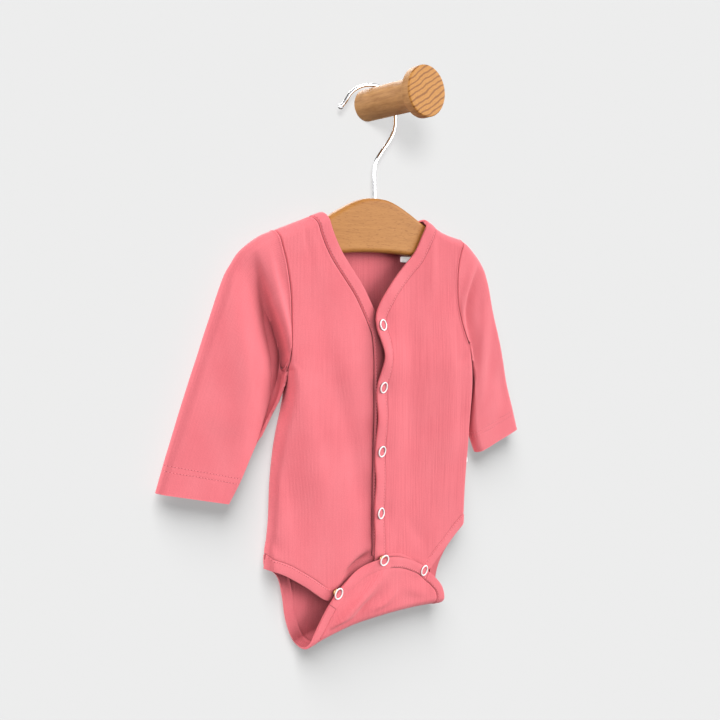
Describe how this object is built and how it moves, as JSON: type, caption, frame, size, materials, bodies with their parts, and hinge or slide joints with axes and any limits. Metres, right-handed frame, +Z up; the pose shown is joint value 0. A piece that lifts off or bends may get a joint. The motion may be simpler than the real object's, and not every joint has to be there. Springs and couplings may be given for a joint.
{
  "type": "baby onesie on a wooden hanger and wall peg",
  "caption": "Long-sleeved baby bodysuit with a snap front and crotch flap, hung by a wooden hanger's wire hook from a round wall peg.",
  "frame": {"origin": "centre of the wall peg's round back face, in the wall plane", "axes": "+Z up, +Y into the wall, so the front of the garment faces -Y; +X to the right of someone facing it, which is the wearer's left"},
  "size_m": [0.3871, 0.074, 0.4642],
  "materials": {
    "cloth": "coral-pink cotton interlock jersey with a fine rib, matt",
    "beech": "pale wood, satin lacquer",
    "peg_wood": "turned hardwood, oiled",
    "steel": "bright chrome-plated wire",
    "white": "white enamelled snap rings",
    "label": "white woven tape, unmarked"
  },
  "bodies": {
    "root": {"wall_peg": "peg_wood", "hook": "steel", "hanger": "beech", "right_front": "cloth", "right_front_binding": "cloth", "right_front_leg_binding": "cloth", "left_front": "cloth", "left_front_binding": "cloth", "left_front_leg_binding": "cloth", "back": "cloth", "back_neck_binding": "cloth", "right_back_leg_binding": "cloth", "left_back_leg_binding": "cloth", "flap_binding": "cloth", "right_sleeve": "cloth", "left_sleeve": "cloth", "placket_snap_1_cap": "white", "placket_snap_1_pair": "white", "placket_snap_1_base": "white", "placket_snap_2_cap": "white", "placket_snap_2_pair": "white", "placket_snap_2_base": "white", "placket_snap_3_cap": "white", "placket_snap_3_pair": "white", "placket_snap_3_base": "white", "placket_snap_4_cap": "white", "placket_snap_4_pair": "white", "placket_snap_4_base": "white", "flap_snap_1_cap": "white", "flap_snap_1_pair": "white", "flap_snap_1_base": "white", "flap_snap_2_cap": "white", "flap_snap_2_pair": "white", "flap_snap_2_base": "white", "flap_snap_3_cap": "white", "flap_snap_3_pair": "white", "flap_snap_3_base": "white", "neck_label": "label", "care_label": "label"}
  },
  "joints": []
}
